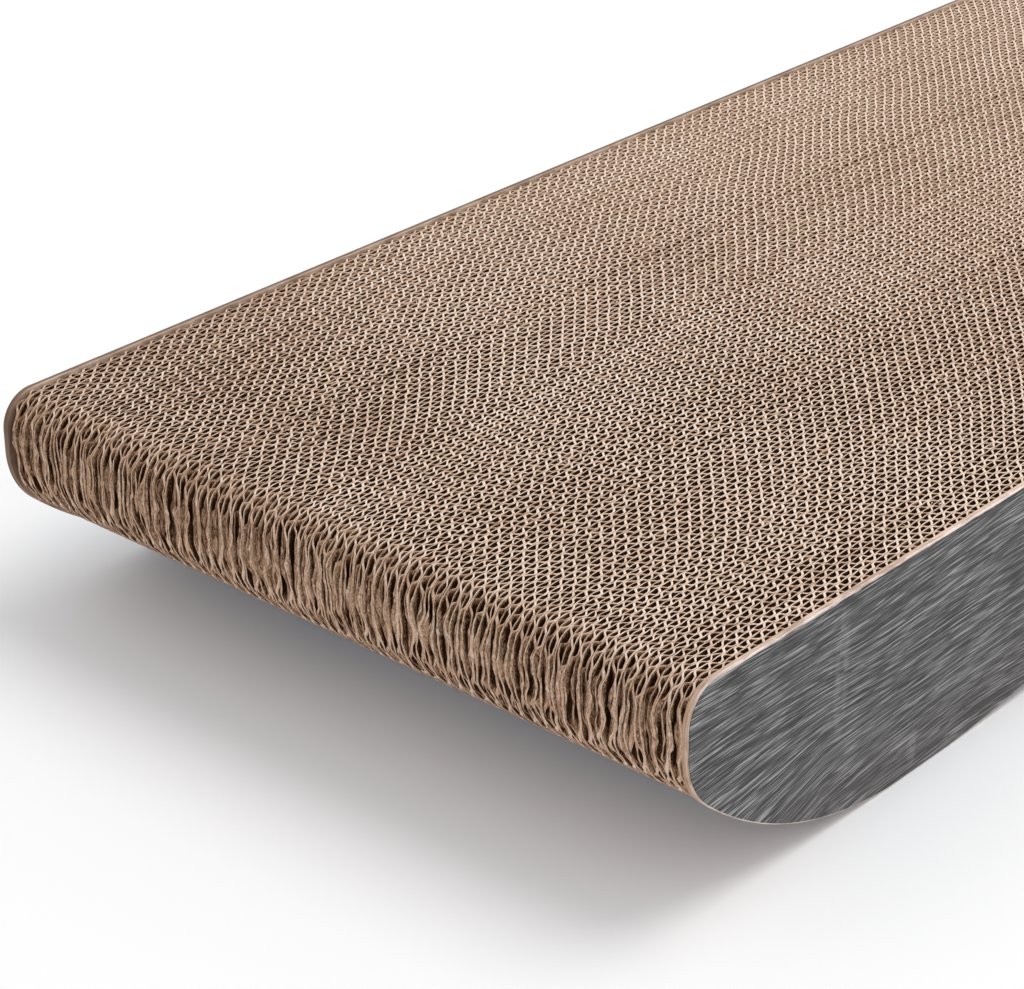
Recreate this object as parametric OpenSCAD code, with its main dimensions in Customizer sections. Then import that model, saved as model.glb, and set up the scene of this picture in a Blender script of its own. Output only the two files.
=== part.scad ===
// Long cardboard scratching board for a cat. Corrugated boards stand on edge side by side with their
// flutes upright, so the flat top and the rounded noses show the open comb. A printed side board
// closes each long side. The board rests on two lobes, with a shallow arch between them.
// +X runs along the board, +Y across it and +Z up. The origin is at the middle of the footprint.

/* [Body] */
// Length from nose to nose
body_l = 860; // [700:10:1000]
// Width across both printed faces
body_w = 310; // [240:1:360]
// Height of the flat top above the floor
body_t = 84; // [78:1:100]

/* [Side profile] */
// Radius of the upper corner of each nose
nose_top_r = 13; // [6:1:18]
// Radius of the lower corner of each nose
nose_low_r = 30; // [20:1:36]
// Radius of the long sweep from each nose down to the floor
sweep_r = 158; // [120:1:175]
// Slope of the sweep where it leaves the lower corner, in degrees
sweep_slope = 42; // [30:1:45]
// Length of the flat land that each lobe stands on
land_l = 14; // [6:1:40]
// Radius of each lobe where it turns up into the arch
lobe_r = 440; // [250:10:700]
// Height of the arch at mid-length
arch_rise = 36; // [20:1:44]

/* [Core boards] */
// Number of boards in the stack, each standing for three thinner ones of the real stack
board_count = 39; // [24:1:44]
// Length of one wave of the fluting
flute_pitch = 19.2; // [15:0.2:28]
// Thickness of the liner and of the fluting paper
paper_t = 0.75; // [0.5:0.05:1.2]
// Depth by which the fluting is glued into its own liner
glue_sink = 0.3; // [0.1:0.05:0.4]
// Setback of the core behind the cut edges of the side boards
core_setback = 0.8; // [0.2:0.1:1.5]

/* [Side boards] */
// Thickness of each side board
side_board_t = 2.4; // [1.5:0.1:5]
// Thickness of the printed paper on the outside of a side board
facing_t = 0.3; // [0.2:0.05:0.8]
// Bare rim of side board left round the printed paper
facing_setback = 0.4; // [0.2:0.1:2]

/* [Hidden] */
board_names = [for (i = [1:board_count]) str("core_board_", i < 10 ? "0" : "", i)];

kraft_colour = "burlywood";
side_board_colour = "rosybrown";
print_colour = "dimgray";

// Overrun of a cutting shape past the stock it cuts
overrun = 1;
// Part of a wave by which each board's fluting is shifted from the one before it
wave_shift_share = 0.382;

// Facets on each arc of the core's profile, and how many times finer the side boards are cut
corner_steps = 6;
nose_steps = 4;
sweep_steps = 8;
lobe_steps = 3;
arch_steps = 4;
side_fineness = 3;

half_l = body_l / 2;
// Each arc runs on from the last with no corner, so its centre follows from the arc above or below it.
top_corner_centre = [half_l - nose_top_r, body_t - nose_top_r];
low_corner_turn = 90 - sweep_slope;
sweep_centre = [
    half_l - nose_low_r * (1 - cos(low_corner_turn)) - sweep_r * sin(sweep_slope),
    sweep_r];
low_corner_centre = [
    half_l - nose_low_r,
    sweep_r * (1 - cos(sweep_slope)) + nose_low_r * sin(low_corner_turn)];
lobe_centre = [sweep_centre[0] - land_l, lobe_r];
// Two arcs that meet at one slope carry the underside from the land up to the crown of the arch.
arch_turn = 2 * atan(arch_rise / lobe_centre[0]);
arch_r = lobe_centre[0] / sin(arch_turn) - lobe_r;
arch_centre = [0, arch_rise - arch_r];

board_pitch = (body_w - 2 * (side_board_t + facing_t)) / board_count;
core_start_y = facing_t + side_board_t - body_w / 2;
half_wave = flute_pitch / 2;
// The sloping strip is thicker across the board than square to itself.
wave_foot = paper_t - glue_sink;
wave_slope = (board_pitch - wave_foot - paper_t) / half_wave;
strip_t = paper_t * sqrt(1 + wave_slope * wave_slope);
wave_crest = board_pitch - strip_t;

function arc(centre, r, from, to, steps) = [
    for (i = [0:steps])
        let (a = from + (to - from) * i / steps)
            centre + r * [cos(a), sin(a)]];

// Right half of the side profile, from the top of the nose round to the crown of the arch, drawn
// inside the true outline by the setback.
function half_profile(setback, fineness) = concat(
    arc(top_corner_centre, nose_top_r - setback, 90, 0, corner_steps * fineness),
    arc(low_corner_centre, nose_low_r - setback, 0, -low_corner_turn, nose_steps * fineness),
    arc(sweep_centre, sweep_r - setback, -low_corner_turn, -90, sweep_steps * fineness),
    arc(lobe_centre, lobe_r - setback, -90, -90 - arch_turn, lobe_steps * fineness),
    arc(arch_centre, arch_r + setback, 90 - arch_turn, 90, arch_steps * fineness));

module side_profile(setback, fineness) {
    right = half_profile(setback, fineness);
    left = [for (i = [len(right) - 2:-1:0]) [-right[i][0], right[i][1]]];
    polygon(concat(right, left));
}

// A sheet cut to the side profile, with its near face at y.
module cut_sheet(y, thickness, setback, fineness) {
    translate([0, y + thickness, 0])
        rotate([90, 0, 0])
            linear_extrude(thickness)
                side_profile(setback, fineness);
}

// Plan of one board: the flat liner and the fluting glued to it, a zigzag strip of one thickness.
module board_plan(shift) {
    waves = ceil(body_l / flute_pitch) + 2;
    start = -half_l - flute_pitch * (1 + shift);
    near_edge = [for (i = [0:2 * waves])
        [start + i * half_wave, i % 2 == 0 ? wave_foot : wave_crest]];
    far_edge = [for (i = [2 * waves:-1:0]) near_edge[i] + [0, strip_t]];
    translate([-half_l - overrun, 0])
        square([body_l + 2 * overrun, paper_t]);
    polygon(concat(near_edge, far_edge));
}

module core_board(i) {
    y = core_start_y + i * board_pitch;
    turns = i * wave_shift_share;
    color(kraft_colour)
        intersection() {
            cut_sheet(y - overrun, board_pitch + 2 * overrun, core_setback, 1);
            translate([0, y, -overrun])
                linear_extrude(body_t + 2 * overrun)
                    board_plan(turns - floor(turns));
        }
}

module near_side_board() {
    color(side_board_colour)
        cut_sheet(facing_t - body_w / 2, side_board_t, 0, side_fineness);
}

module far_side_board() {
    color(side_board_colour)
        cut_sheet(body_w / 2 - facing_t - side_board_t, side_board_t, 0, side_fineness);
}

module near_facing_paper() {
    color(print_colour)
        cut_sheet(-body_w / 2, facing_t, facing_setback, side_fineness);
}

module far_facing_paper() {
    color(print_colour)
        cut_sheet(body_w / 2 - facing_t, facing_t, facing_setback, side_fineness);
}

near_facing_paper();
near_side_board();
for (i = [0:board_count - 1])
    core_board(i);
far_side_board();
far_facing_paper();
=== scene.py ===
"""Long cardboard scratching board for a cat, dressed for the photograph.

+X runs along the board, +Y across it and +Z up, in metres. The photographed nose is at -X and the
photographed side face at -Y.
"""

import math

import bpy
import numpy as np
from mathutils import Matrix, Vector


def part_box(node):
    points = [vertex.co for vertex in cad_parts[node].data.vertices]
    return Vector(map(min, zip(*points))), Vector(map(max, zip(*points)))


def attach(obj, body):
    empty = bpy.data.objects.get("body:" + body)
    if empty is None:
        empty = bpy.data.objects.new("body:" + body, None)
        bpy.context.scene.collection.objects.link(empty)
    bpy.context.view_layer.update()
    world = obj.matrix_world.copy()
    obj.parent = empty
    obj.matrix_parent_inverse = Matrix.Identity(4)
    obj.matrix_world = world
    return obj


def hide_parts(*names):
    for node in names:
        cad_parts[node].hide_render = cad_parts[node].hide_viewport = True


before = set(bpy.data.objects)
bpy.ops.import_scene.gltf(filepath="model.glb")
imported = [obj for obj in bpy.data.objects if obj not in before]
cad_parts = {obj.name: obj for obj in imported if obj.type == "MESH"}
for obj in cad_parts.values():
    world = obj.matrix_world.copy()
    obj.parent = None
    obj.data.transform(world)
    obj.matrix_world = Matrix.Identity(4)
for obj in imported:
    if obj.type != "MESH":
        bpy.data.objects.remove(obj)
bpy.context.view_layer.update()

# Core
# The core is 117 sheets of single-faced corrugated kraft board. Each has a flat liner and a wave of
# fluting glued to it. The sheets are die-cut to one side profile and glued face to face on edge, so
# the cut edges of the paper make the comb of the top and the upright ribs of the noses.
core_nodes = sorted(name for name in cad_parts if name.startswith("core_board_"))
sheets_per_node = 3
core_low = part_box(core_nodes[0])[0]
core_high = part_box(core_nodes[-1])[1]
tip_x, top_z, land_z = core_high.x, core_high.z, core_low.z
sheet_pitch = (core_high.y - core_low.y) / (len(core_nodes) * sheets_per_node)
# The second sheet of each glued pair takes this share more room, and the first as much less.
odd_sheet_gain = 0.05
flute_pitch = 0.00645
liner_t, flute_t = 0.00039, 0.00040
glue_sink = 0.00006
# One leaning wave of the fluting: shares of its length, and its place there between its own liner at
# -1 and the next at 1. It rises in a long slant and falls back steeply.
wave_shares = np.array([0.00, 0.19, 0.37, 0.45, 0.59, 0.68, 0.82, 0.94])
wave_levels = np.array([-1.0, -1.0, -0.95, -0.6, 0.6, 0.94, 1.0, 0.93])

# Arcs of the cut profile: distance of the centre from mid-length, height of the centre, radius.
body_height = 0.084
setback = body_height - top_z
corner_arc = (0.417, 0.071, 0.013 - setback)
heel_arc = (0.400, 0.0628775, 0.030 - setback)
sweep_arc = (0.3143513, 0.158, 0.158 - setback)
lobe_arc = (0.3003513, 0.440, 0.440 - setback)
arch_arc = (0.0, -0.79495, 0.83095 + setback)
heel_turn, arch_turn = math.radians(48), math.radians(13.6695)
heel_end = heel_arc[0] + heel_arc[2] * math.cos(heel_turn)
lobe_end = arch_arc[2] * math.sin(arch_turn)

# The nose is the part of a sheet past nose_start, and the waves' own points end wave_clearance before
# it. The tip is a short upright with a slight bulge, with points at these shares of half its height.
nose_start = 0.405
nose_places = 35
tip_z = (corner_arc[1] + heel_arc[1]) / 2
tip_half_z = (corner_arc[1] - heel_arc[1]) / 2
tip_bulge = 0.00025
tip_levels = np.array([0.75, 0.5, 0.25, 0.07])
wave_clearance = 0.0005

# No point of a comb goes past the box between these, just inside the cut edges of the side boards.
core_reach = 0.4299
core_limit_low = np.array([-core_reach, core_low.y, land_z])
core_limit_high = np.array([core_reach, core_high.y, top_z])


def cut_line(out):
    """Heights of the upper and the lower cut at a distance out from mid-length.

    On an arc the height is that of its centre, plus or minus the root of the radius squared less the
    distance from the centre squared.
    """

    def on(arc, side):
        return arc[1] + side * np.sqrt(np.maximum(arc[2] ** 2 - (out - arc[0]) ** 2, 0))

    upper = np.where(out > corner_arc[0], on(corner_arc, 1), top_z)
    lower = np.select(
        [out > heel_end, out > sweep_arc[0], out > lobe_arc[0], out > lobe_end],
        [on(heel_arc, -1), on(sweep_arc, -1), land_z, on(lobe_arc, -1)],
        on(arch_arc, 1),
    )
    return upper, lower


def stations(middle):
    """Signed places along a sheet, and its upper and lower cut there, from those between the noses.

    Near the tip the distance that is left shrinks as a square, which keeps the steps even round the
    nose. The upright of the nose bulges as a parabola, so its last few places also move outwards.
    """
    out = tip_x - (tip_x - nose_start) * np.linspace(1, 0, nose_places) ** 2
    upper, lower = cut_line(out)
    half = tip_half_z * tip_levels
    out = np.r_[out, tip_x + tip_bulge * (1 - (half / tip_half_z) ** 2)]
    upper, lower = np.r_[upper, tip_z + half], np.r_[lower, tip_z - half]
    middle = np.sort(middle[np.abs(middle) < nose_start - wave_clearance])
    mid_upper, mid_lower = cut_line(np.abs(middle))
    return (
        np.r_[-out[::-1], middle, out],
        np.r_[upper[::-1], mid_upper, upper],
        np.r_[lower[::-1], mid_lower, lower],
    )


def from_tip(x, z):
    """Length along the cut from the nearer tip: the summed straight steps from there."""
    half = len(x) // 2
    run = np.r_[0, np.cumsum(np.hypot(np.diff(x), np.diff(z)))]
    return np.where(np.arange(len(x)) < half, run, run[-1] - run) + abs(z[0] - tip_z)


def drift(seed, x, y, long_x, long_y, waves=7):
    """Smooth random field, mostly from -1 to 1, at x and y.

    It is a sum of sine waves with random slants and phases, none shorter than long_x along x and
    long_y along y, over the root of their number.
    """
    random = np.random.default_rng(seed)
    slants = random.uniform(-1, 1, (waves, 2))
    total = sum(
        np.sin(2 * np.pi * (a * x / long_x + b * y / long_y + phase))
        for (a, b), phase in zip(slants, random.uniform(0, 1, waves))
    )
    return total / math.sqrt(waves)


def rough(random, count):
    """Random numbers along a cut: half of one at each place and a quarter of both neighbours'."""
    plain = random.normal(size=count)
    return 0.5 * plain + 0.25 * (np.roll(plain, 1) + np.roll(plain, -1))


# The lean of the stack: the sizes of a sine wave across it and of a slow and a quick drift, the length
# and the start of that wave, and how near the sides the lean dies out.
wave_lean, slow_lean, quick_lean = 0.00100, 0.00042, 0.00010
lean_wave, lean_start = 0.12, -0.055
lean_margin = 0.02


def wander(x, y):
    """How far the stack leans across the board at x, y: a sine wave across it and two drifts, which
    die out at its sides."""
    room = np.minimum(y - core_low.y, core_high.y - y)
    hold = np.clip(room / lean_margin, 0, 1)
    uneven = wave_lean * np.sin(2 * np.pi * (y - lean_start) / lean_wave)
    slow = slow_lean * drift(11, x, y, 0.10, 0.055)
    quick = quick_lean * drift(12, x, y, 0.018, 0.006, 12)
    return hold * (uneven + slow + quick)


# Shifts of the fluting along its sheet, in waves: from pair to pair, in the second sheet of a pair,
# what that loses within a distance of mid-width, and the slips.
pair_shift, pair_drift = 0.10, 0.5
odd_shift, odd_shift_lost, odd_drift = 0.42, 0.20, 0.10
odd_lost_within = 0.035
wave_slip = 0.06


def shift_of(sheet, x, y):
    """How far the fluting of a sheet is shifted along x.

    The sheets are glued in pairs, each pair a tenth of a wave on from the last, and the second of a
    pair is shifted again, least near mid-width. All of it drifts slowly along and across the board,
    with a small slip of each sheet and of each wave.
    """
    pair = sheet // 2
    across = core_low.y + 2 * pair * sheet_pitch
    slow = pair_shift * pair % 1 + pair_drift * drift(21, x, across, 1.1, 0.11)
    odd = odd_shift - odd_shift_lost * math.exp(-((across / odd_lost_within) ** 2))
    odd = odd + odd_drift * drift(22, x, across, 0.5, 0.05)
    slip = wave_slip * drift(23, x, y, 0.03, 0.004, 12)
    return flute_pitch * (slow + sheet % 2 * odd + slip)


def wave_at(sheet, x, y):
    """Place of a sheet's fluting between its liner, -1, and the next, 1, straight between points."""
    turns = (x - shift_of(sheet, x, y)) / flute_pitch
    return np.interp(turns, wave_shares, wave_levels, period=1)


# The bend of the ribs: its size, how much more it is below the tip, and how far along the cut it goes.
rib_bend, low_bend_gain = 0.00095, 0.00018
bend_reach, bend_turn = 0.021, 0.006
quick_bend = 0.2


def nose_bend(x, y, run):
    """How far a rib bends across the board at a signed length along the cut from the tip.

    It is a slow and a quick random field, other ones at each nose, times an amount that is more below
    the tip than above it, times a bell curve of the length.
    """
    fade = np.exp(-((run / bend_reach) ** 2))
    amount = rib_bend - low_bend_gain * np.tanh(run / bend_turn)
    slow = np.where(x < 0, drift(31, run, y, 0.015, 0.011, 12), drift(32, run, y, 0.015, 0.011, 12))
    quick = np.where(x < 0, drift(33, run, y, 0.005, 0.004, 12), drift(34, run, y, 0.005, 0.004, 12))
    return fade * amount * (slow + quick_bend * quick)


# What the knife does to a cut, in shares of the paper's thickness: how it varies, how it spreads the
# flanks on the flat, how much less at the tip and more where they rise, and how it spreads the sweep.
thickness_stray = 0.16
flank_spread, flank_spread_lost, rising_spread = 1.05, 0.65, 0.12
sweep_spread = 0.35
# The crush at the tip and how it varies, each with what is added to it low down. That grows from
# crush_high downwards, over crush_depth.
crush, low_crush = 0.15, 0.40
crush_stray, low_crush_stray = 0.35, 0.20
crush_high, crush_depth = 0.070, 0.020
# How far cuts and ribs stray, and how far the cut of a sheet may lie back at the tip or lie low.
cut_stray, rib_stray = 0.00006, 0.00005
sheet_inset, inset_drift, sheet_drop = 0.0003, 0.0002, 0.00012
# A ribbon's thickness turns straight across the board over this length, and begins to this many times
# it before the nose. The last number keeps its sharpest bends from being mitred to a spike.
straight_over, straight_lead = 0.003, 1.3
sharpest_mitre = 0.9
# What the slope of a flank, the tip and each metre of recess add to the tone of a cut. The slope's
# share is painted light and shade, and the recess's share is painted shade.
flank_painted_light, tip_tone, recess_painted_shade = 0.45, 0.25, -550


def ribbon(x, upper, lower, centre, thick, recess, random):
    """Points of an upright sheet of paper, four a station, near and far at the top, then far and
    near at the bottom, and the tone of its cut edge at each station.

    Each is half the thickness from the centre line, along the sum of the normals of the two stretches
    that meet there over half its square, and straight across the board at the noses. The knife
    spreads the flanks, most those that rise along +X. It crushes the cut round the nose, most at the
    tip and below it, and the ribs of the nose bend on their own above and below. A recessed sheet
    stands back at the tips, where its cut is painted darker as shade. The tone of a cut is painted
    lighter on flanks that rise along +X and darker on those that fall, as painted light and shade.
    """
    out = np.abs(x)
    pull = np.clip((out - nose_start) / (tip_x - nose_start), 0, 1)
    along_step, across_step = np.diff(x), np.diff(centre)
    turned = np.stack([-across_step, along_step], 1) / np.hypot(along_step, across_step)[:, None]
    normal = np.r_[turned[:1], turned] + np.r_[turned, turned[-1:]]
    normal /= np.maximum((normal**2).sum(1) / 2, sharpest_mitre)[:, None]
    slope = np.clip(np.gradient(centre, x), -1, 1)
    straight = np.clip((out - nose_start) / straight_over + straight_lead, 0, 1)
    across = normal[:, 1] * (1 - straight) + np.sqrt(1 + slope**2) * straight
    half = thick / 2 * (1 + thickness_stray * rough(random, len(x)))
    half *= 1 + (flank_spread - flank_spread_lost * pull) * np.abs(slope) + rising_spread * slope
    swept = np.clip((out - sweep_arc[0]) / (heel_end - sweep_arc[0]), 0, 1)

    def crushed(height):
        low = np.clip((crush_high - height) / crush_depth, 0, 1)
        varies = (crush_stray + low_crush_stray * low) * rough(random, len(x))
        return pull**1.2 * (crush + low_crush * low + varies)

    half_top = half * (1 + crushed(upper))
    half_bottom = half * (1 + sweep_spread * swept + crushed(lower))
    inset = recess * random.uniform(0.4, 1) + random.uniform(0, sheet_inset)
    inset = inset + inset_drift * (1 + drift(41, centre, centre, 0.05, 0.02))
    along = np.sign(x) * (out - inset * pull)
    top = upper - cut_stray * np.abs(rough(random, len(x))) - random.uniform(0, sheet_drop)
    bottom = lower + cut_stray * np.abs(rough(random, len(x)))
    above = nose_bend(x, centre, from_tip(x, upper)) + rib_stray * rough(random, len(x))
    below = nose_bend(x, centre, -from_tip(x, lower)) + rib_stray * rough(random, len(x))
    offset = np.stack([-half_top, half_top, half_bottom, -half_bottom], 1)
    points = np.empty((len(x), 4, 3))
    points[..., 0] = along[:, None] + offset * (normal[:, 0] * (1 - straight))[:, None]
    points[..., 1] = centre[:, None] + offset * across[:, None]
    points[..., 1] += np.stack([above, above, below, below], 1)
    points[..., 2] = np.stack([top, top, bottom, bottom], 1)
    # Painted light and shade: lighter on flanks that rise along +X, darker on those that fall, and
    # darker at the tip of a recessed sheet.
    tone = random.uniform(0.3, 0.7) + flank_painted_light * np.tanh(slope)
    tone = tone + (tip_tone + recess_painted_shade * recess) * pull
    return np.clip(points.reshape(-1, 3), core_limit_low, core_limit_high), tone


def ribbon_faces(count, first):
    """Quads of a ribbon and the material of each: 0 on cut edges and at both ends, 1 on walls."""
    start = first + 4 * np.arange(count - 1)[:, None]
    rings = np.array([[0, 4, 5, 1], [1, 5, 6, 2], [2, 6, 7, 3], [3, 7, 4, 0]])
    sides = (start[..., None] + rings[None]).reshape(-1, 4)
    kind = np.tile([0, 1, 0, 1], count - 1)
    last = first + 4 * (count - 1)
    ends = np.array([[0, 1, 2, 3], [3, 2, 1, 0]]) + np.array([[first], [last]])
    return np.r_[sides, ends], np.r_[kind, 0, 0]


# Each comb has a map of its own for its baked picture. Every ribbon takes a band of it, with a strip
# for each cut edge and each wall, and the small faces take square cells below the bands.
band_height = 0.15
strip_starts = np.array([0.104, 0.122, 0.180, 0.196])
strip_heights = np.array([0.014, 0.054, 0.012, 0.054])
nose_zoom, zoom_start = 5, nose_start - 0.01
band_margin = 0.003
cells_in_row = 100
cell_corners = np.array([[0.2, 0.2], [0.8, 0.2], [0.8, 0.8], [0.2, 0.8]])


def ribbon_map(points, band):
    """Places of a ribbon's side faces in its band of the map, four corners a face.

    The first is the length run to a station over the whole, with that at the noses counted five
    times. The second goes from side to side of a cut edge, and with the height on a wall.
    """
    ribs = points.reshape(-1, 4, 3)
    middle = (ribs[1:, 0] + ribs[:-1, 0]) / 2
    step = np.hypot(*(ribs[1:, 0] - ribs[:-1, 0])[:, :2].T)
    step = step * np.where(np.abs(middle[:, 0]) > zoom_start, nose_zoom, 1)
    along = band_margin + (1 - 2 * band_margin) * np.r_[0, np.cumsum(step)] / step.sum()
    across = ribs[:, [[0, 1], [1, 2], [2, 3], [3, 0]], 2] / body_height
    across[:, [0, 2]] = 0, 1
    across = band * band_height + strip_starts[:, None] + across * strip_heights[:, None]
    places = np.empty((len(step), 4, 4, 2))
    places[..., 0] = np.stack([along[:-1], along[1:], along[1:], along[:-1]], 1)[:, None]
    places[..., 1] = np.concatenate([across[:-1, :, :1], across[1:], across[:-1, :, 1:]], 2)
    return places.reshape(-1, 4, 2)


def cell_map(first, count):
    """Places of small faces in the map, one in each cell of a square grid, row after row."""
    cell = np.arange(first, first + count)
    corner = np.stack([cell % cells_in_row, cell // cells_in_row], 1)
    return (corner[:, None] + cell_corners) / cells_in_row


# Torn bits of paper: how many are tried for a comb, how far from mid-length, and how deep they go.
burr_tries, burrs_within = 150, 0.4
burr_depth = 0.0006


def burrs(random, near_y, far_y):
    """Points of the torn bits of paper between two places across the board, eight each: two stations
    of four, as in a ribbon. They lie in patches, where a slow random field is high."""
    x = random.uniform(-burrs_within, burrs_within, burr_tries)
    y = random.uniform(near_y, far_y, burr_tries)
    torn = drift(51, x, y, 0.09, 0.05) + random.uniform(-0.4, 0.6, burr_tries) > 0.4
    x, y = x[torn], y[torn]
    heading = random.uniform(0, 2 * np.pi, len(x))
    reach = random.uniform(0.0003, 0.0011, len(x))
    half = random.uniform(0.00012, 0.00032, len(x))
    top = top_z - random.uniform(0.00002, 0.0004, len(x))
    thin = random.uniform(0.2, 0.9, len(x))
    points = np.empty((len(x), 2, 4, 3))
    for end, width in ((0, half), (1, half * thin)):
        side = np.stack([-width, width, width, -width], 1)
        sign = 2 * end - 1
        middle = [x + sign * reach * np.cos(heading), y + sign * reach * np.sin(heading)]
        points[:, end, :, 0] = middle[0][:, None] - side * np.sin(heading)[:, None]
        points[:, end, :, 1] = middle[1][:, None] + side * np.cos(heading)[:, None]
        points[:, end, :, 2] = top[:, None] - np.array([0, 0, burr_depth, burr_depth])
    return np.clip(points.reshape(-1, 3), core_limit_low, core_limit_high)


def new_material(name, roughness):
    """A material with one Principled shader: the material, its tree and the shader."""
    material = bpy.data.materials.new(name)
    material.use_nodes = True
    shader = material.node_tree.nodes["Principled BSDF"]
    shader.inputs["Roughness"].default_value = roughness
    return material, material.node_tree, shader


def add(tree, kind, inputs=(), **settings):
    """A new node. inputs pairs a socket's name or number with a value or with a socket to link."""
    made = tree.nodes.new(kind)
    for name, value in settings.items():
        setattr(made, name, value)
    for name, value in inputs:
        if isinstance(value, bpy.types.NodeSocket):
            tree.links.new(value, made.inputs[name])
        else:
            made.inputs[name].default_value = value
    return made


def maths(tree, operation, first, second=0.0, third=0.0, clamp=False):
    """The result of one Math node."""
    node = add(tree, "ShaderNodeMath", [(0, first), (1, second), (2, third)], operation=operation)
    node.use_clamp = clamp
    return node.outputs[0]


def noise(tree, place, scale, detail=2.0, rough_share=0.5):
    """A noise texture's strength at a place."""
    return add(
        tree,
        "ShaderNodeTexNoise",
        [("Vector", place), ("Scale", scale), ("Detail", detail), ("Roughness", rough_share)],
    ).outputs["Fac"]


def stretched(tree, place, stretch, offset=(0, 0, 0)):
    """A place scaled by its own factor on each axis."""
    return add(
        tree, "ShaderNodeMapping", [("Vector", place), ("Scale", stretch), ("Location", offset)]
    ).outputs[0]


def ramp(tree, strength, *stops):
    """A colour ramp through (position, colour) stops."""
    node = add(tree, "ShaderNodeValToRGB", [("Fac", strength)])
    elements = node.color_ramp.elements
    while len(elements) < len(stops):
        elements.new(0.5)
    for element, (position, colour) in zip(elements, stops):
        element.position = position
        element.color = (*colour, 1)
    return node.outputs["Color"]


def mixed(tree, share, first, second, blend="MIX"):
    """Two colours mixed by a share. A Mix node takes its colours at 6 and 7 and gives one at 2."""
    node = add(tree, "ShaderNodeMix", data_type="RGBA", blend_type=blend)
    for socket, value in zip((node.inputs[0], node.inputs[6], node.inputs[7]), (share, first, second)):
        if isinstance(value, bpy.types.NodeSocket):
            tree.links.new(value, socket)
        else:
            socket.default_value = value if isinstance(value, float) else (*value, 1)
    return node.outputs[2]


def bumped(tree, shader, height, distance, strength):
    """Gives the shader a bump that follows a height."""
    node = add(
        tree, "ShaderNodeBump", [("Height", height), ("Distance", distance), ("Strength", strength)]
    )
    tree.links.new(node.outputs[0], shader.inputs["Normal"])


def object_place(tree):
    """A point's place on the object, whole and as its three numbers."""
    place = add(tree, "ShaderNodeTexCoord").outputs["Object"]
    return place, add(tree, "ShaderNodeSeparateXYZ", [(0, place)]).outputs


def rising(tree, value, steep, start, lead=0.0):
    """A share from 0 to 1: how far a value is past start, times the steepness, plus the lead."""
    return maths(tree, "MULTIPLY_ADD", value, steep, -steep * start + lead, clamp=True)


def slanted(tree, axes, along, across, middle):
    """A share from 0 to 1: its value at mid-board, plus one slope along the board and one across."""
    share = maths(tree, "MULTIPLY_ADD", axes[1], across, middle)
    return maths(tree, "MULTIPLY_ADD", axes[0], along, share, clamp=True)


# Cut edges: pale tan, with dark specks and paler bands across the board. Painted light makes them
# lighter on flanks that rise along +X, away from the photographed nose and towards the far side.
# Painted shade makes them darker on flanks that fall and at the far end of the photographed nose.
# Both noses are browner, with darker mottling where the cut is crushed.
fibre_share, tone_share, band_share = 0.60, 0.30, 0.30
painted_light_slant, painted_light_gain = (3.0, 2.4, 0.85), 0.035
painted_shade_slant, painted_shade_gain = (-6.0, 7.2, -2.04), -0.045
mottle_share = 0.62
cut_kraft, tree, shader = new_material("kraft_cut_edge", 0.86)
shader.inputs["Specular IOR Level"].default_value = 0.2
place, axes = object_place(tree)
tone = add(tree, "ShaderNodeAttribute", attribute_name="cut_tone").outputs["Fac"]
fibres = noise(tree, stretched(tree, place, (1, 1, 0.4)), 700, 3.0, 0.65)
bands = noise(tree, stretched(tree, place, (9, 3, 3)), 1.0, 4.0, 0.6)
strength = maths(tree, "MULTIPLY", tone, tone_share)
strength = maths(tree, "MULTIPLY_ADD", fibres, fibre_share, strength)
strength = maths(tree, "MULTIPLY_ADD", bands, band_share, strength)
# Painted light: lighter away from the photographed nose and towards the far side.
strength = maths(tree, "MULTIPLY_ADD", slanted(tree, axes, *painted_light_slant), painted_light_gain, strength)
# Painted shade: darker at the far end of the photographed nose.
strength = maths(tree, "MULTIPLY_ADD", slanted(tree, axes, *painted_shade_slant), painted_shade_gain, strength)
colour = ramp(
    tree,
    strength,
    (0.36, (0.20, 0.11, 0.065)),
    (0.47, (0.50, 0.33, 0.235)),
    (0.62, (0.79, 0.59, 0.46)),
    (0.78, (0.93, 0.78, 0.67)),
)
out = maths(tree, "ABSOLUTE", axes[0])
at_nose = rising(tree, out, 80.0, corner_arc[0])
colour = mixed(tree, at_nose, colour, (0.81, 0.70, 0.61), "MULTIPLY")
mottle = noise(tree, stretched(tree, place, (1, 1, 0.6)), 1900, 4.0, 0.85)
mottle = maths(tree, "MULTIPLY_ADD", mottle, -12.0, 6.1, clamp=True)
mottle = maths(tree, "MULTIPLY", mottle, maths(tree, "MULTIPLY", at_nose, mottle_share))
colour = mixed(tree, mottle, colour, (0.19, 0.115, 0.072))
tree.links.new(colour, shader.inputs["Base Color"])
bumped(tree, shader, fibres, 0.0003, 0.7)

# Walls of the flutes: kraft, with painted shade that turns them near black soon below the flat cut.
# The painted shade starts deeper in away from the photographed nose and towards the far side, which
# is painted light, at the upper corner and in the noses. Here and there a cell is half shut by
# crushed paper, and there the painted shade leaves it brown.

# The brown goes down from a cut by a reach in metres, and below it the wall is painted dark as shade.
# On top it follows a noise of the size of cells, but is never less than a little, and that is more
# on the fluting than on the liners. In the noses it grows with the height, and in half-shut cells.
cell_reach, cell_loss = 0.0060, -0.0031
least_reach, fluting_gain = 0.00015, 0.0004
painted_light_reach, corner_reach = 0.0013, 0.0016
low_nose_reach, high_nose_gain = 0.0008, 0.0007
shut_reach, shut_loss = 0.026, -0.0124
nose_blend = 0.0104
wall_kraft, tree, shader = new_material("kraft_wall", 0.9)
shader.inputs["Specular IOR Level"].default_value = 0.1
place, axes = object_place(tree)
out = maths(tree, "ABSOLUTE", axes[0])
on_fluting = add(tree, "ShaderNodeAttribute", attribute_name="wall_tone").outputs["Fac"]


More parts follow.
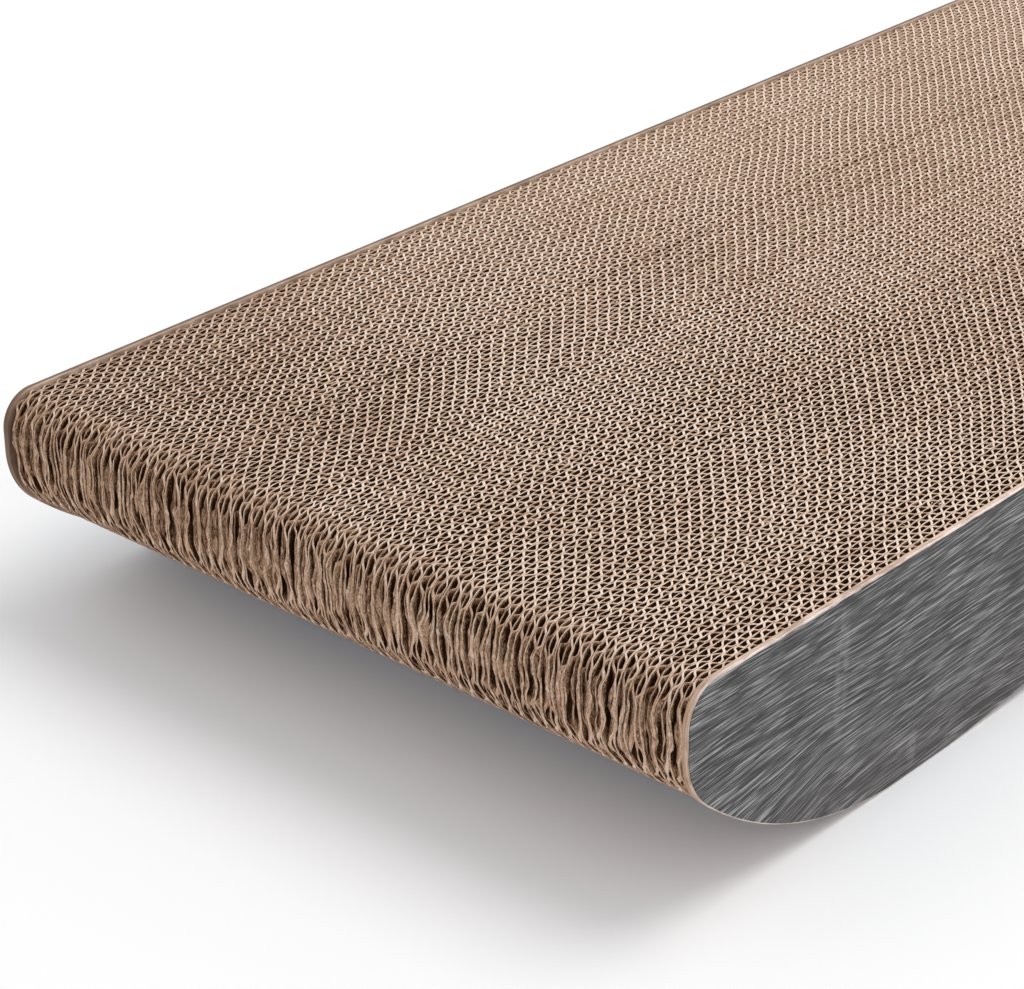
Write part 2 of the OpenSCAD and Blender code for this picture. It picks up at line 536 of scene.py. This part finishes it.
def depth_inside(tree, out, height, arc, only_above):
    """How deep a point lies inside an arc of the profile: the radius less the distance from the centre.

    Of the way along the board only what is outwards of the centre counts, and with only_above, of the
    height only what is above it.
    """
    outwards = maths(tree, "MAXIMUM", maths(tree, "SUBTRACT", out, arc[0]), 0.0)
    up = maths(tree, "SUBTRACT", height, arc[1])
    up = maths(tree, "MAXIMUM", up, 0.0) if only_above else up
    squares = maths(tree, "MULTIPLY_ADD", up, up, maths(tree, "MULTIPLY", outwards, outwards))
    return maths(tree, "SUBTRACT", arc[2], maths(tree, "SQRT", squares))


under_top = depth_inside(tree, out, axes[2], corner_arc, True)
in_sweep = depth_inside(tree, out, axes[2], sweep_arc, False)
behind_tip = maths(tree, "SUBTRACT", tip_x, out)
in_nose = maths(tree, "SMOOTH_MIN", behind_tip, in_sweep, nose_blend)
cells = noise(tree, stretched(tree, place, (1, 1, 0.1)), 190, 1.0)
reach = maths(tree, "MULTIPLY_ADD", cells, cell_reach, cell_loss)
least = maths(tree, "MULTIPLY_ADD", on_fluting, fluting_gain, least_reach)
reach = maths(tree, "MAXIMUM", reach, least)
# Painted light: the painted shade starts deeper away from the photographed nose and towards the far
# side.
reach = maths(tree, "MULTIPLY_ADD", slanted(tree, axes, *painted_light_slant), painted_light_reach, reach)
at_corner = rising(tree, out, 100.0, corner_arc[0], 0.4)
reach = maths(tree, "MULTIPLY_ADD", at_corner, corner_reach, reach)
deep_top = maths(tree, "DIVIDE", under_top, reach, clamp=True)
high_up = maths(tree, "MULTIPLY_ADD", axes[2], 100.0, -4.0, clamp=True)
nose_reach = maths(tree, "MULTIPLY_ADD", high_up, high_nose_gain, low_nose_reach)
shut = noise(tree, stretched(tree, place, (0.5, 1, 0.35)), 300, 2.0)
shut = maths(tree, "MULTIPLY_ADD", shut, shut_reach, shut_loss)
nose_reach = maths(tree, "ADD", nose_reach, maths(tree, "MAXIMUM", shut, 0.0))
deep_nose = maths(tree, "DIVIDE", in_nose, nose_reach, clamp=True)
# Painted shade: the deeper below the cut, as a share of the reach, the darker the wall.
depth = maths(tree, "MINIMUM", deep_top, deep_nose)
fibres = noise(tree, stretched(tree, place, (1, 1, 0.25)), 520, 3.0, 0.6)
strength = maths(tree, "MULTIPLY_ADD", fibres, 0.5, maths(tree, "SUBTRACT", depth, 0.25))
specks = noise(tree, stretched(tree, place, (1, 1, 0.6)), 1700, 3.0, 0.75)
specks = maths(tree, "MULTIPLY", maths(tree, "SUBTRACT", specks, 0.5), at_corner)
strength = maths(tree, "MULTIPLY_ADD", specks, 2.2, strength)
colour = ramp(
    tree,
    strength,
    (0.05, (0.46, 0.31, 0.21)),
    (0.40, (0.19, 0.105, 0.058)),
    (0.85, (0.026, 0.010, 0.004)),
)
tree.links.new(colour, shader.inputs["Base Color"])
bumped(tree, shader, fibres, 0.0003, 0.6)

# Waves are numbered from mid-length, more of them than a sheet holds. Crests stray by a share of their
# height and of a wave. The cut of the second sheet of a pair lies back at the tips.
wave_numbers = np.arange(-70, 70)[:, None]
sheet_seed = 700
liner_bow, liner_stray = 0.00012, 0.00006
level_stray, crest_stray = 0.12, 0.04
stray_clearance = 0.002
odd_sheet_recess = 0.0009


def put_in_scene(name, data):
    """A new object in the scene, made of a mesh, a lamp's data or a camera's."""
    made = bpy.data.objects.new(name, data)
    bpy.context.scene.collection.objects.link(made)
    return made


for number, node_name in enumerate(core_nodes):
    points, faces, kinds, cut_tones, wall_tones, places = [], [], [], [], [], []
    first = ribbon_count = 0
    for sheet in range(number * sheets_per_node, (number + 1) * sheets_per_node):
        random = np.random.default_rng(sheet_seed + sheet)
        near_y = core_low.y + (sheet - sheet % 2 * odd_sheet_gain) * sheet_pitch
        room = (1 + (sheet % 2 * 2 - 1) * odd_sheet_gain) * sheet_pitch
        flat = near_y + liner_t / 2
        middle = near_y + (room + liner_t) / 2
        flute_swing = (room - liner_t - flute_t) / 2 + glue_sink

        # The liner bows into the fluting between its glue lines.
        x = flute_pitch * (wave_numbers + wave_shares[1::2]).ravel()
        x, upper, lower = stations(x + shift_of(sheet, x, middle))
        bow = liner_bow * wave_at(sheet, x, middle) + liner_stray * rough(random, len(x))
        papers = [(x, upper, lower, flat + wander(x, flat) + bow, liner_t, 0.0)]

        # The fluting's crests are uneven, and they stray along it between the noses.
        x = flute_pitch * (wave_numbers + wave_shares).ravel()
        x, upper, lower = stations(x + shift_of(sheet, x, middle))
        level = wave_at(sheet, x, middle) * (1 - level_stray * np.abs(rough(random, len(x))))
        inside = np.abs(x) < nose_start - stray_clearance
        x = x + inside * crest_stray * flute_pitch * rough(random, len(x))
        centre = middle + flute_swing * level + wander(x, middle)
        papers.append((x, upper, lower, centre, flute_t, 1.0))

        for x, upper, lower, centre, thick, wall_tone in papers:
            recess = odd_sheet_recess * (sheet % 2)
            ribbon_points, tone = ribbon(x, upper, lower, centre, thick, recess, random)
            points.append(ribbon_points)
            quads, kind = ribbon_faces(len(x), first)
            faces.append(quads)
            kinds.append(kind)
            cut_tones.append(np.repeat(tone, 4))
            wall_tones.append(np.full(4 * len(x), wall_tone))
            places += [ribbon_map(ribbon_points, ribbon_count), cell_map(2 * ribbon_count, 2)]
            first += 4 * len(x)
            ribbon_count += 1

    torn = burrs(random, near_y - 2 * sheet_pitch, near_y + sheet_pitch)
    quads, kind = ribbon_faces(2, 0)
    count = len(torn) // 8
    points.append(torn)
    faces.append((first + 8 * np.arange(count)[:, None, None] + quads).reshape(-1, 4))
    kinds.append(np.tile(kind, count))
    places.append(cell_map(2 * ribbon_count, 6 * count))
    cut_tones.append(np.repeat(random.uniform(0.1, 1.2, count), 8))
    wall_tones.append(np.ones(8 * count))

    points, faces, kinds = np.concatenate(points), np.concatenate(faces), np.concatenate(kinds)
    mesh = bpy.data.meshes.new(f"comb_{number + 1:02d}")
    mesh.vertices.add(len(points))
    mesh.vertices.foreach_set("co", points.astype(np.float32).ravel())
    mesh.loops.add(faces.size)
    mesh.loops.foreach_set("vertex_index", faces.astype(np.int32).ravel())
    mesh.polygons.add(len(faces))
    mesh.polygons.foreach_set("loop_start", np.arange(0, faces.size, 4, dtype=np.int32))
    mesh.materials.append(cut_kraft)
    mesh.materials.append(wall_kraft)
    mesh.polygons.foreach_set("material_index", kinds.astype(np.int32))
    for name, tones in (("cut_tone", cut_tones), ("wall_tone", wall_tones)):
        values = mesh.attributes.new(name, "FLOAT", "POINT").data
        values.foreach_set("value", np.concatenate(tones).astype(np.float32))
    bake_map = mesh.uv_layers.new(name="OFBake").data
    bake_map.foreach_set("uv", np.concatenate(places).astype(np.float32).ravel())
    mesh.update(calc_edges=True)
    mesh.validate()
    comb = put_in_scene(mesh.name, mesh)
    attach(comb, "root")
    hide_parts(node_name)

# Side boards
# One kraft board closes each long side. It is die-cut to the same profile, a little proud of the
# comb, so its cut edge shows as a thin rim: pale on the outside of the near board, and brown on the
# outside and at the noses of the far one.
near_rim_y, near_steep = -0.1535, 1400.0
far_rim_y, far_steep = 0.1521, 600.0
side_kraft, tree, shader = new_material("side_board_kraft", 0.8)
place, axes = object_place(tree)
fibres = noise(tree, stretched(tree, place, (110, 2200, 110)), 1.0, 4.0, 0.6)
areas = noise(tree, place, 90, 3.0)
strength = maths(tree, "MULTIPLY_ADD", fibres, 0.6, maths(tree, "MULTIPLY", areas, 0.4))
kraft = ramp(tree, strength, (0.42, (0.40, 0.27, 0.19)), (0.56, (0.74, 0.56, 0.44)))
pale = ramp(tree, strength, (0.42, (0.50, 0.37, 0.31)), (0.54, (0.90, 0.79, 0.74)))
brown = ramp(tree, strength, (0.30, (0.10, 0.060, 0.038)), (0.68, (0.25, 0.16, 0.105)))
ragged = noise(tree, place, 260, 3.0, 0.7)
near_rim = maths(tree, "MULTIPLY_ADD", ragged, 3.0, near_steep * near_rim_y - 1.5)
near_rim = maths(tree, "MULTIPLY_ADD", axes[1], -near_steep, near_rim, clamp=True)
far_rim = rising(tree, axes[1], far_steep, far_rim_y)
colour = mixed(tree, near_rim, kraft, pale)
out = maths(tree, "ABSOLUTE", axes[0])
at_nose = rising(tree, out, 80.0, corner_arc[0])
colour = mixed(tree, at_nose, colour, (0.70, 0.60, 0.52), "MULTIPLY")
far_nose = maths(tree, "MULTIPLY", at_nose, maths(tree, "GREATER_THAN", axes[1], 0.0))
colour = mixed(tree, maths(tree, "MAXIMUM", far_rim, far_nose), colour, brown)
tree.links.new(colour, shader.inputs["Base Color"])
bumped(tree, shader, fibres, 0.0003, 0.6)


def dress(node_names, material):
    """Gives a material to pieces whose shape is the CAD's own."""
    for name in node_names:
        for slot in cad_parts[name].material_slots:
            slot.material = material


dress(("near_side_board", "far_side_board"), side_kraft)

# Facing papers
# A paper printed with dark grey wood grain is glued on the outside of each side board. The grain
# runs along the board in fine pale and dark streaks and bends into long arches low at the nose.
grain_sway = 0.022
bend_start_x, bend_slope = -0.36, 0.30
brown_share, pale_share, scuff_share = 0.2, 0.8, 0.35
wood_grain, tree, shader = new_material("wood_grain_print", 0.5)
place, axes = object_place(tree)
warp = noise(tree, stretched(tree, place, (5, 5, 16)), 1.0, 2.0)
warp = maths(tree, "MULTIPLY_ADD", warp, grain_sway, axes[2])
past_bend = maths(tree, "MINIMUM", maths(tree, "SUBTRACT", axes[0], bend_start_x), 0.0)
low_half = maths(tree, "MULTIPLY_ADD", axes[2], -18.0, 1.0, clamp=True)
arch = maths(tree, "MULTIPLY", past_bend, maths(tree, "MULTIPLY", low_half, bend_slope))
bent = add(
    tree,
    "ShaderNodeCombineXYZ",
    [(0, axes[0]), (1, axes[1]), (2, maths(tree, "SUBTRACT", warp, arch))],
).outputs[0]


def streaks(tree, place, stretch, steep, broken):
    """Shares of the pale and of the dark thin lines: where a stretched noise lies well above one half
    and well below it, broken up where another one is low."""
    level = noise(tree, stretched(tree, place, stretch), 1.0, 1.0)
    gaps = noise(tree, stretched(tree, place, broken, (7, 7, 7)), 1.0, 1.0)
    shown = maths(tree, "MULTIPLY_ADD", gaps, 4.0, -1.4, clamp=True)
    for slope, start in ((steep, -0.58 * steep), (-steep, 0.43 * steep)):
        line = maths(tree, "MULTIPLY_ADD", level, slope, start, clamp=True)
        yield maths(tree, "MULTIPLY", line, shown)


fine = noise(tree, stretched(tree, bent, (60, 30, 2600)), 1.0, 1.0, 0.6)
broad = noise(tree, stretched(tree, bent, (3, 30, 210)), 1.0, 2.0, 0.5)
strength = maths(tree, "MULTIPLY_ADD", broad, 0.22, maths(tree, "MULTIPLY", fine, 0.78))
grey = ramp(
    tree,
    strength,
    (0.40, (0.006, 0.006, 0.007)),
    (0.50, (0.043, 0.044, 0.045)),
    (0.62, (0.130, 0.130, 0.130)),
)
for stretch, steep, broken in (
    ((80, 30, 3600), 16.0, (45, 30, 1000)),
    ((50, 30, 2300), 16.0, (50, 30, 1400)),
):
    pale_line, dark_line = streaks(tree, bent, stretch, steep, broken)
    grey = mixed(tree, dark_line, grey, (0.001, 0.001, 0.001))
    grey = mixed(tree, maths(tree, "MULTIPLY", pale_line, pale_share), grey, (0.42, 0.42, 0.42))
low_down = maths(tree, "MULTIPLY_ADD", axes[2], -30.0, 0.9, clamp=True)
colour = mixed(tree, maths(tree, "MULTIPLY", low_down, brown_share), grey, (0.13, 0.085, 0.085))
patchy = maths(tree, "MULTIPLY_ADD", noise(tree, place, 320, 3.0, 0.7), 3.0, -1.1, clamp=True)
# Two faint upright scuffs, ovals: the place along the board, the height, and half the size each way.
scuffs = (-0.353, 0.057, 0.004, 0.024), (-0.3105, 0.010, 0.003, 0.008)
for scuff_x, scuff_z, half_x, half_z in scuffs:
    off_x = maths(tree, "MULTIPLY_ADD", axes[0], 1 / half_x, -scuff_x / half_x)
    off_z = maths(tree, "MULTIPLY_ADD", axes[2], 1 / half_z, -scuff_z / half_z)
    apart = maths(tree, "MULTIPLY_ADD", off_x, off_x, maths(tree, "MULTIPLY", off_z, off_z))
    scuffed = maths(tree, "MULTIPLY", maths(tree, "SUBTRACT", 1.2, apart, clamp=True), patchy)
    colour = mixed(tree, maths(tree, "MULTIPLY", scuffed, scuff_share), colour, (0.42, 0.43, 0.44))
tree.links.new(colour, shader.inputs["Base Color"])
bumped(tree, shader, strength, 0.0002, 0.25)
dress(("near_facing_paper", "far_facing_paper"), wood_grain)

# Studio
# A pale floor under an even sky, with one large soft lamp above the board. The camera and mirrored
# views see a faint cool glow on the floor, which takes the brown of the board out of its shadow, and a
# white sky. Neither adds light to the board, apart from its faint shine.


def seen_directly(tree):
    """1 on rays from the camera and on mirrored or refracted ones, 0 on the scattered ones."""
    rays = add(tree, "ShaderNodeLightPath").outputs
    mirrored = maths(tree, "MAXIMUM", rays["Is Glossy Ray"], rays["Is Transmission Ray"])
    return maths(tree, "MAXIMUM", rays["Is Camera Ray"], mirrored)


floor_reach = 6
floor_corners = floor_reach * np.array([[-1, -1, 0], [1, -1, 0], [1, 1, 0], [-1, 1, 0]])
floor_mesh = bpy.data.meshes.new("studio_floor")
floor_mesh.from_pydata(floor_corners.tolist(), [], [(0, 1, 2, 3)])
floor = put_in_scene("studio_floor", floor_mesh)
floor_material, tree, shader = new_material("studio_floor", 0.9)
shader.inputs["Base Color"].default_value = (0.972, 0.949, 0.935, 1)
shader.inputs["Emission Color"].default_value = (0.20, 0.62, 1.0, 1)
glow = maths(tree, "MULTIPLY", seen_directly(tree), 0.055)
tree.links.new(glow, shader.inputs["Emission Strength"])
floor_mesh.materials.append(floor_material)

world = bpy.data.worlds.new("studio_sky")
bpy.context.scene.world = world
world.use_nodes = True
tree = world.node_tree
sky = tree.nodes["Background"]
sky.inputs["Color"].default_value = (1, 1, 1, 1)
sky.inputs["Strength"].default_value = 0.74
white = add(tree, "ShaderNodeBackground", [("Color", (1, 1, 1, 1)), ("Strength", 0.98)])
both = add(
    tree,
    "ShaderNodeMixShader",
    [(0, seen_directly(tree)), (1, sky.outputs[0]), (2, white.outputs[0])],
)
tree.links.new(both.outputs[0], tree.nodes["World Output"].inputs["Surface"])

lamp_data = bpy.data.lights.new("studio_lamp", "AREA")
lamp_data.shape = "DISK"
lamp_data.size = 1.6
lamp_data.energy = 24
lamp_place = np.array([0.6, -0.5, 2.2])
aim = lamp_place / np.linalg.norm(lamp_place)
side = np.cross([0, 1, 0], aim)
side /= np.linalg.norm(side)


def turned_to(side, up, back, place):
    """The matrix of a lamp or a camera from its own three directions and its place."""
    return Matrix(np.r_[np.c_[side, up, back, place], [[0, 0, 0, 1]]].tolist())


lamp = put_in_scene("studio_lamp", lamp_data)
lamp.matrix_world = turned_to(side, np.cross(aim, side), aim, lamp_place)

# Camera
# The photograph is taken from above the nose with a long lens, turned 41.6 degrees from the board's
# length towards its far side and tilted 27.1 degrees down.
camera_place = (-1.0354, -0.6231, 0.5406)
picture_width, focal_pixels = 1024, 3042
sensor_width = 36
yaw, pitch, roll = (math.radians(angle) for angle in (41.59, 27.10, 0.22))
forward = np.array(
    [math.cos(pitch) * math.cos(yaw), math.cos(pitch) * math.sin(yaw), -math.sin(pitch)]
)
right = np.array([math.sin(yaw), -math.cos(yaw), 0.0])
down = np.cross(forward, right)
right, down = (
    math.cos(roll) * right + math.sin(roll) * down,
    math.cos(roll) * down - math.sin(roll) * right,
)
camera_data = bpy.data.cameras.new("photo_camera")
camera_data.sensor_width = sensor_width
camera_data.lens = focal_pixels / picture_width * sensor_width
camera_data.clip_start = 0.05
camera = put_in_scene("photo_camera", camera_data)
camera.matrix_world = turned_to(right, -down, -forward, camera_place)
bpy.context.scene.camera = camera
bpy.context.scene.view_settings.view_transform = "Standard"
